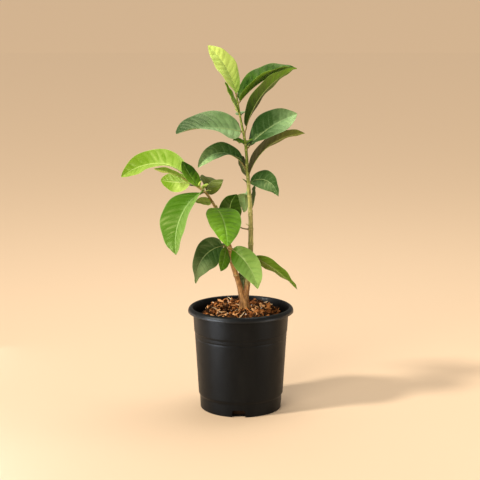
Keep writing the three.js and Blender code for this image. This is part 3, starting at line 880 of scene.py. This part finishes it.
def blade(leaf, number):
    """Points, faces, map spots and the facts at each point of one closed blade."""
    length, half = leaf["length"], leaf["width"] / 2
    veins = int(np.clip(round(length * VEINS_PER_MM) + 3, FEWEST_VEINS, MOST_VEINS))
    rows = veins * ROWS_PER_VEIN
    draw = np.random.default_rng(1000 + number)
    s = np.linspace(0, 1, rows + 1)[:, None]
    v = ACROSS[None, :]
    off = np.abs(v)
    sweep = VEIN_SWEEP * half * outline(s) / length
    b = np.clip(s + sweep * off**1.25, 0, 1)
    w = np.maximum(half * outline(b), 0.25)
    share = (leaf["stalk"] + b * length) / (leaf["stalk"] + length)
    along, side, up = frame_along(leaf, share)
    middle = on_midrib(leaf, share)
    offset = np.where(v > 0, 0.42 * draw.uniform(0.6, 1), 0)
    turns = s * draw.uniform(1.5, 2.6) + draw.uniform(0, 1) + 0.3 * np.sign(v)
    phase = s * veins - 0.5 + offset + 0.16 * np.sin(2 * np.pi * turns)
    crest = 0.5 + 0.5 * np.cos(2 * np.pi * phase)
    belly = np.clip(off / 0.16, 0, 1) * np.clip((1.05 - off) / 0.5, 0, 1)
    fade = np.clip(w / (0.35 * half), 0, 1)
    relief = min(1.0, length / 100)
    swell = np.sin(2 * np.pi * (1.7 * s + 0.6 * v + draw.uniform(0, 1)))
    lift = relief * (SWELL_HEIGHT * swell - VEIN_DEPTH * crest**2.2) * belly * fade
    lift = lift - RIB_DEPTH * np.exp(-((off / 0.04) ** 2)) * fade
    turns = s * draw.uniform(2.2, 3.4) + draw.uniform(0, 1)
    wave = np.sin(2 * np.pi * turns + (v > 0) * draw.uniform(1, 4))
    lift = lift + RIM_WAVE * relief * wave * off**3 * fade
    fold = np.radians(leaf["fold"])
    rise = w * (np.sin(fold) * off + 0.16 * off * (1 - off)) + lift
    surface = middle + side * (w * v * np.cos(fold))[..., None] + up * rise[..., None]
    thick = BLADE_THICKNESS * (0.55 + 0.45 * (1 - off**4)) * np.ones_like(s)
    top = surface + up * (thick / 2)[..., None]
    under = surface - up * (thick / 2)[..., None]
    ring = np.concatenate([top, under[:, ::-1]], axis=1)
    count, across = ring.shape[1], len(ACROSS)
    facts = {
        "vein": crest**9 * np.clip((0.98 - off) / 0.5, 0, 1) * fade,
        "rib": np.clip(1.7 - off / 0.03, 0, 1) * np.clip(w / (0.12 * half), 0, 1),
        "rim": np.clip((off - 0.94) / 0.06, 0, 1) * np.ones_like(s),
        # How far each spot is towards the pale colour: the leaf's own tone plus painted light and
        # shade, along the blade and from one half to the other
        "lit": leaf["lit"] + leaf["tipward"] * (b - 0.5) + leaf["sideward"] * np.tanh(5 * v),
    }
    facts = {name: np.hstack([fact, fact[:, ::-1]]) for name, fact in facts.items()}
    facts["under"] = np.hstack([0 * w, 0 * w + 1])
    faces = wall_faces(rows + 1, count)[:, [0, 3, 2, 1]]
    first = np.stack(np.meshgrid(np.arange(rows), np.arange(count), indexing="ij"), -1)
    corners = np.array([[0, 0], [1, 0], [1, 1], [0, 1]])
    spots = ((first[:, :, None] + corners) / (rows, count)).reshape(-1, 4, 2)
    ends, end_spots = [], []
    for base, x, turn in ((0, -0.02, 1), (rows * count, 1.01, -1)):
        for j in range(across - 1):
            quad = [base + j, base + j + 1, base + count - 2 - j, base + count - 1 - j]
            ends.append(quad[::turn])
            low, high = j / across, (j + 1) / across
            end_spots.append([(x, low), (x, high), (x + 0.01, high), (x + 0.01, low)][::turn])
    faces, spots = np.vstack([faces, ends]), np.vstack([spots, end_spots])
    return ring.reshape(-1, 3), faces, spots, {k: f.reshape(-1) for k, f in facts.items()}


sample = blade(all_leaves["leader_tip"][3], 0)
print("one blade has", len(sample[1]), "faces")

# %% [markdown]
# A guava's colours tell a leaf's age: lime at the tip, fresh green next, then deep green, and a
# grey-green with a painted sheen on some. Each of these is a pair of colours, fitted like the
# table's colour columns, from the leaf's colour in painted shade to its colour in painted light.
# Young leaves get their pressed veins painted darker, as shade in the furrows, and old ones paler.
# An image could hold all this, but plain numbers that each blade carries stay sharp at any size.

# %% The leaf finishes
LEAF_COLOURS = {
    # name: colour in painted shade, colour in painted light, how much paler the side veins are
    # (below 0 darker, as painted shade), how plain the midrib is
    "lime": ((0.126, 0.259, 0.009), (0.6, 0.79, 0.19), -0.18, 0.55),
    "fresh": ((0.053, 0.156, 0.005), (0.362, 0.613, 0.162), -0.18, 0.6),
    "green": ((0.013, 0.057, 0.003), (0.196, 0.434, 0.024), -0.18, 0.6),
    "deep": ((0.005, 0.011, 0.003), (0.225, 0.302, 0.041), 0.1, 0.3),
    "silver": ((0.023, 0.07, 0.012), (0.449, 0.698, 0.331), 0.08, 0.28),
    "bud": ((0.26, 0.38, 0.03), (0.5, 0.6, 0.12), 0.0, 0.4),
}
UNDERSIDE = (0.12, 0.16, 0.05)


def added(tree, first, second, scale):
    """first plus second times scale, kept between 0 and 1."""
    made = node(tree, "ShaderNodeMath", operation="MULTIPLY_ADD", use_clamp=True)
    tree.links.new(second, made.inputs[0])
    made.inputs[1].default_value = scale
    tree.links.new(first, made.inputs[2])
    return made.outputs[0]


def leaf_finish(name, dark, pale, veins, midrib):
    made, tree, shader = finish("leaf_" + name, dark, 0.42, 0.28, (1.0, 1.0, 0.45))
    place = object_place(tree)
    cloud = ramp(tree, speckle(tree, place, 60, 3), 0.3, 0.7, -1, 1)
    flecks = ramp(tree, speckle(tree, place, 520, 4, 0.7), 0.42, 0.75)
    # The mix from the dark colour to the pale one: painted light and shade from lit, with a random
    # mottle and flecks
    share = added(tree, added(tree, attribute(tree, "lit"), cloud, 0.08), flecks, 0.10)
    # Side veins below 0 are painted darker, as painted shade in their pressed furrows; above 0 they
    # are paler
    share = added(tree, share, ramp(tree, attribute(tree, "vein"), 0.1, 1), veins)
    plain = blend(tree, share, dark, pale)
    below = blend(tree, 0.15, plain, UNDERSIDE)
    both = blend(tree, attribute(tree, "under"), plain, below)
    line = tuple(0.8 * p + 0.09 for p in pale)
    ribbed = blend(tree, ramp(tree, attribute(tree, "rib"), 0, 1, 0, midrib), both, line)
    rimmed = blend(tree, ramp(tree, attribute(tree, "rim"), 0.2, 1, 0, 0.8 * midrib), ribbed, line)
    colour_in(tree, shader, rimmed)
    dull = ramp(tree, attribute(tree, "under"), 0, 1, 0.40, 0.62)
    tree.links.new(dull, shader.inputs["Roughness"])
    cells = node(tree, "ShaderNodeTexVoronoi", feature="SMOOTH_F1", Vector=place, Scale=300)
    bump(tree, shader, cells.outputs["Distance"], 0.16, 0.0007)
    return made


leaf_finishes = {name: leaf_finish(name, *colours) for name, colours in LEAF_COLOURS.items()}
print("leaf finishes:", ", ".join(leaf_finishes))

# %% Join the blades of each mass
def laid_out(piece, cells):
    """The piece's own map, in which each part's spots have a cell of their own."""
    side = math.ceil(math.sqrt(len(cells)))
    corners = []
    for k, spots in enumerate(cells):
        cell = np.array([k % side, k // side])
        flat = spots.reshape(-1, 2)
        low, high = flat.min(0), flat.max(0)
        corners.append((0.03 + 0.94 * (flat - low) / (high - low) + cell) / side)
    layer = piece.data.uv_layers.new(name="OFBake")
    layer.uv.foreach_set("vector", np.vstack(corners).astype(np.float32).ravel())


def leaf_piece(name, leaves, first):
    pile, cells, facts = Pile(), [], {}
    used = sorted({leaf["colour"] for leaf in leaves})
    for k, leaf in enumerate(leaves):
        points, faces, spots, leaf_facts = blade(leaf, first + k)
        pile.add(points, faces.tolist(), used.index(leaf["colour"]))
        cells.append(spots)
        for fact, values in leaf_facts.items():
            facts.setdefault(fact, []).append(values)
    made = pile.made(name)
    for fact, values in facts.items():
        set_float(made.data, fact, np.concatenate(values))
    laid_out(made, cells)
    for colour in used:
        made.data.materials.append(leaf_finishes[colour])
    smooth(made)
    return made


NODES = {mass: mass + "_leaves" for mass in LEAVES} | {"low_front": "low_front_leaf"}
first, faces_made = 0, 0
for mass, leaves in all_leaves.items():
    piece = leaf_piece("blades_" + mass, leaves, first)
    first += len(leaves)
    faces_made += len(piece.data.polygons)
    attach(piece, "root")
    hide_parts(NODES[mass])
print("blades:", faces_made, "faces")

# %% [markdown]
# Each leaf hangs on a short stalk that runs on under the blade as its midrib, stout at the stem and
# fine as a hair at the tip. The stalks could be bevelled curves; a ring of points moved along
# the same midrib keeps them exactly under their blades.

# %% Stalks and midribs
STALK_RINGS, STALK_SIDES = 40, 10
THICKEST_STALK, FINEST_MIDRIB = 1.45, 0.22


def ring_tube(centres, sides_x, sides_y, radii, sides, squash=1.0):
    """Points and faces of a closed tube: rings round centres in the plane of two directions."""
    angle = 2 * np.pi * np.arange(sides) / sides
    over, out = np.cos(angle)[None, :, None], squash * np.sin(angle)[None, :, None]
    circle = over * sides_x[:, None] + out * sides_y[:, None]
    rings = centres[:, None] + circle * np.asarray(radii)[:, None, None]
    return rings.reshape(-1, 3), tube_faces(len(centres), sides)


pile, young = Pile(), []
for leaves in all_leaves.values():
    for leaf in leaves:
        if leaf["colour"] == "bud":
            continue
        total = leaf["stalk"] + leaf["length"]
        share = np.linspace(0, 0.97, STALK_RINGS)
        run = share * total
        along, side, up = frame_along(leaf, share)
        thick = min(THICKEST_STALK, 0.45 + leaf["length"] * 0.011)
        past_stalk = np.maximum(run - leaf["stalk"], 0) / leaf["length"]
        radii = thick * np.where(run < leaf["stalk"], 1.0, (1 - past_stalk) ** 0.8 * 0.72)
        radii = np.maximum(radii, FINEST_MIDRIB) * (1 + 0.45 * np.exp(-((run - 4.5) / 2.5) ** 2))
        sunk = np.clip((run - leaf["stalk"] * 0.6) / 6, 0, 1)
        centres = on_midrib(leaf, share) - up * (sunk * (0.25 + radii * 0.35))[:, None]
        pile.add(*ring_tube(centres, side, up, radii, STALK_SIDES, 0.9))
        young.append(np.repeat(np.clip((run - leaf["stalk"]) / 25, 0, 1), STALK_SIDES))
stalks = pile.made("leaf_stalks")
set_float(stalks.data, "young", np.concatenate(young))
smooth(stalks)

# %% [markdown]
# The stems' bark is one skin from the soil to both tips. The two stems, the flared foot and the
# short spurs are laid down as separate tubes and melted into one with a voxel Remesh, which gives
# the fork its natural crotch. Smooth then takes off the voxels' steps, and the bark's relief is
# pushed in with noise that is stretched along the stem.

# %% Lay down the wood
COLLAR_TOP, COLLAR_FOOT, COLLAR_RINGS, COLLAR_SIDES = 226, 190, 20, 48
COLLAR_REACH, COLLAR_NARROWING = 12.3, 6.0
SOIL_LINE = 193
wood = Pile()
NODE_SWELLING, NODE_SPREAD = 0.20, 1.9
NODE_HEIGHTS = {
    "leader": [268, 294, 322, 351, 378, 385, 415, 438, 451, 475, 503, 513, 527, 537, 552, 568, 590],
    "left": [262, 290, 312, 318, 350, 397, 406, 421, 427, 433, 443],
}


def swelling(z, heights):
    """How far the stem swells at its leaf nodes, as a share of its radius."""
    return sum(NODE_SWELLING * math.exp(-(((z - height) / NODE_SPREAD) ** 2)) for height in heights)


def add_tube(centres, along, radii, sides):
    across = np.cross((0, 1, 0), along)
    across /= np.linalg.norm(across, axis=1)[:, None]
    wood.add(*ring_tube(centres, across, np.cross(along, across), radii, sides))


for name, stem, top in (("leader", leader, 605), ("left", left_stem, 452)):
    heights = NODE_HEIGHTS[name]
    zs = np.arange(196, top + 0.6, 1.5)
    centres = np.array([stem.point(z) for z in zs])
    along = np.array([stem.tangent(z) for z in zs])
    radii = [stem.radius_at(z) * (1 + swelling(z, heights)) for z in zs]
    add_tube(centres, along, radii, 28)

angle = 2 * np.pi * np.arange(COLLAR_SIDES) / COLLAR_SIDES
lobes = 0.15 * np.cos(5 * angle) + 0.10 * np.cos(3 * angle + 2)
collar = []
for z in np.linspace(COLLAR_FOOT, COLLAR_TOP, COLLAR_RINGS):
    share = np.clip((z - SOIL_LINE) / (COLLAR_TOP - SOIL_LINE), 0, 1)
    reach = (COLLAR_REACH - COLLAR_NARROWING * share**0.45) * (1 + (1 - share) ** 1.5 * lobes)
    collar.append(np.c_[TRUNK_X + reach * np.cos(angle), reach * np.sin(angle), z + 0 * angle])
wood.add(np.vstack(collar), tube_faces(COLLAR_RINGS, COLLAR_SIDES))

for stem, height, heading in SPURS.values():
    foot, tip = stem.point(height), spur_tip(stem, height, heading)
    ahead = unit(SPUR_RISE, heading)
    centres = np.array([foot, tip, tip + 1.8 * ahead])
    add_tube(centres, np.array([ahead] * 3), [3.2, 2.5, 1.7], 16)
stems = wood.made("bark_stems")

# %% Melt the wood into one skin
VOXEL = 0.65
modify(stems, "REMESH", mode="VOXEL", voxel_size=VOXEL * MM)
modify(stems, "SMOOTH", factor=0.5, iterations=5)
print("bark skin:", len(stems.data.polygons), "faces")

# %% Press in the bark
RIDGE_DEPTH, CORNER_DEPTH, SCALE_DEPTH = 0.62, 0.42, 0.16
# Heights between which each stem turns green, and the leader from cream to shoot green
GREEN_LEADER, GREEN_LEFT, GREEN_SHOOT = (238, 262), (240, 470), (390, 500)
RING_SPREAD = 1.3


def read(piece, fact):
    """A fact of three numbers at each vertex of a piece."""
    values = np.empty(len(piece.data.vertices) * 3)
    piece.data.vertices.foreach_get(fact, values)
    return values.reshape(-1, 3)


def risen(height, start, full):
    """0 up to the start, 1 from the full height, and evenly in between."""
    return np.clip((height - start) / (full - start), 0, 1)


spots, normals = read(stems, "co") / MM, read(stems, "normal")
height = spots[:, 2]
row = np.clip((height - COLLAR_FOOT).round().astype(int), 0, 421)
from_line = {}
for name, stem in (("leader", leader), ("left", left_stem)):
    line = np.array([stem.point(z) for z in np.arange(COLLAR_FOOT, 612)])
    from_line[name] = spots - line[row]
from_leader = np.hypot(*from_line["leader"][:, :2].T)
from_left = np.where(height < 462, np.hypot(*from_line["left"][:, :2].T), 1e3)
on_left = from_left < from_leader
green = np.where(on_left, risen(height, *GREEN_LEFT), risen(height, *GREEN_LEADER))
to_node = {name: np.abs(height[:, None] - heights).min(1) for name, heights in NODE_HEIGHTS.items()}
nearest = np.where(on_left, to_node["left"], to_node["leader"])
ring = np.exp(-((nearest / RING_SPREAD) ** 2))
ridges, scales = [], []
for x, y, z in spots:
    ridges.append(noise.fractal(Vector((x * 0.42, y * 0.42, z * 0.055)), 1.0, 2.1, 4))
    scales.append(noise.noise(Vector((x * 0.9, y * 0.9, z * 0.5)) + Vector((7, 3, 1))))
ridges, scales = np.array(ridges), np.array(scales)
depth = RIDGE_DEPTH * (1 - green) * np.clip((330 - height) / 130, 0.25, 1)
away = np.where(on_left[:, None], from_line["left"], from_line["leader"])
turn = np.arctan2(away[:, 1], away[:, 0])
angled = np.clip((height - 250) / 60, 0, 1) * np.clip((620 - height) / 300, 0.2, 1)
push = ridges * depth + CORNER_DEPTH * np.cos(4 * turn + 0.8) * angled
push = push + SCALE_DEPTH * scales * (1 - 0.7 * green)
spots = spots + normals * push[:, None]
stems.data.vertices.foreach_set("co", (spots * MM).ravel())
shoot = risen(height, *GREEN_SHOOT)
for name, fact in (("green", green), ("on_left", on_left), ("ring", ring), ("shoot", shoot)):
    set_float(stems.data, name, fact)
stems.data.update()
smooth(stems)
print("deepest bark relief", round(float(np.abs(ridges * depth).max()), 2), "mm")

# %% [markdown]
# Old guava bark is thin and tan with darker cracks. Young guava wood is four-angled and green, with
# a pale ring at each leaf node. The straight stem is cream-green from just above the fork and
# greener towards its tip. The leaning one stays tan for longer and turns to olive slowly.

# %% The bark's finish
bark, tree, shader = finish("bark", (0.3, 0.18, 0.09), 0.66, 0.3)
grain = object_place(tree, (1, 1, 0.16))
cracks = ramp(tree, speckle(tree, grain, 420, 5, 0.65), 0.36, 0.66)
flakes = ramp(tree, speckle(tree, object_place(tree, (1, 1, 0.5)), 150, 3), 0.38, 0.62, 0, 0.7)
tan = blend(tree, cracks, (0.20, 0.088, 0.024), (0.72, 0.40, 0.15))
rust = blend(tree, cracks, (0.085, 0.032, 0.008), (0.38, 0.165, 0.050))
old = blend(tree, flakes, tan, rust)
cream_green = blend(tree, cracks, (0.18, 0.18, 0.045), (0.56, 0.54, 0.20))
olive_tan = blend(tree, cracks, (0.15, 0.11, 0.020), (0.44, 0.34, 0.10))
shoot_green = blend(tree, cracks, (0.075, 0.115, 0.014), (0.29, 0.37, 0.065))
leader_wood = blend(tree, attribute(tree, "shoot"), cream_green, shoot_green)
young_wood = blend(tree, attribute(tree, "on_left"), leader_wood, olive_tan)
grown = blend(tree, attribute(tree, "green"), old, young_wood)
near_node = ramp(tree, attribute(tree, "ring"), 0.2, 1, 0, 0.55)
ringed = blend(tree, near_node, grown, (0.52, 0.47, 0.22))
colour_in(tree, shader, ringed)
bump(tree, shader, speckle(tree, grain, 900, 4, 0.7), 0.45, 0.0006)
stems.data.materials.append(bark)
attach(stems, "root")
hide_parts("trunk", "left_bough", "right_bough")

stalk_skin, tree, shader = finish("stalk_skin", (0.2, 0.16, 0.05), 0.5)
cloud = ramp(tree, speckle(tree, object_place(tree), 300, 3), 0.3, 0.7)
reddish = blend(tree, cloud, (0.15, 0.10, 0.03), (0.28, 0.25, 0.08))
colour_in(tree, shader, blend(tree, attribute(tree, "young"), reddish, (0.30, 0.38, 0.11)))
stalks.data.materials.append(stalk_skin)
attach(stalks, "root")
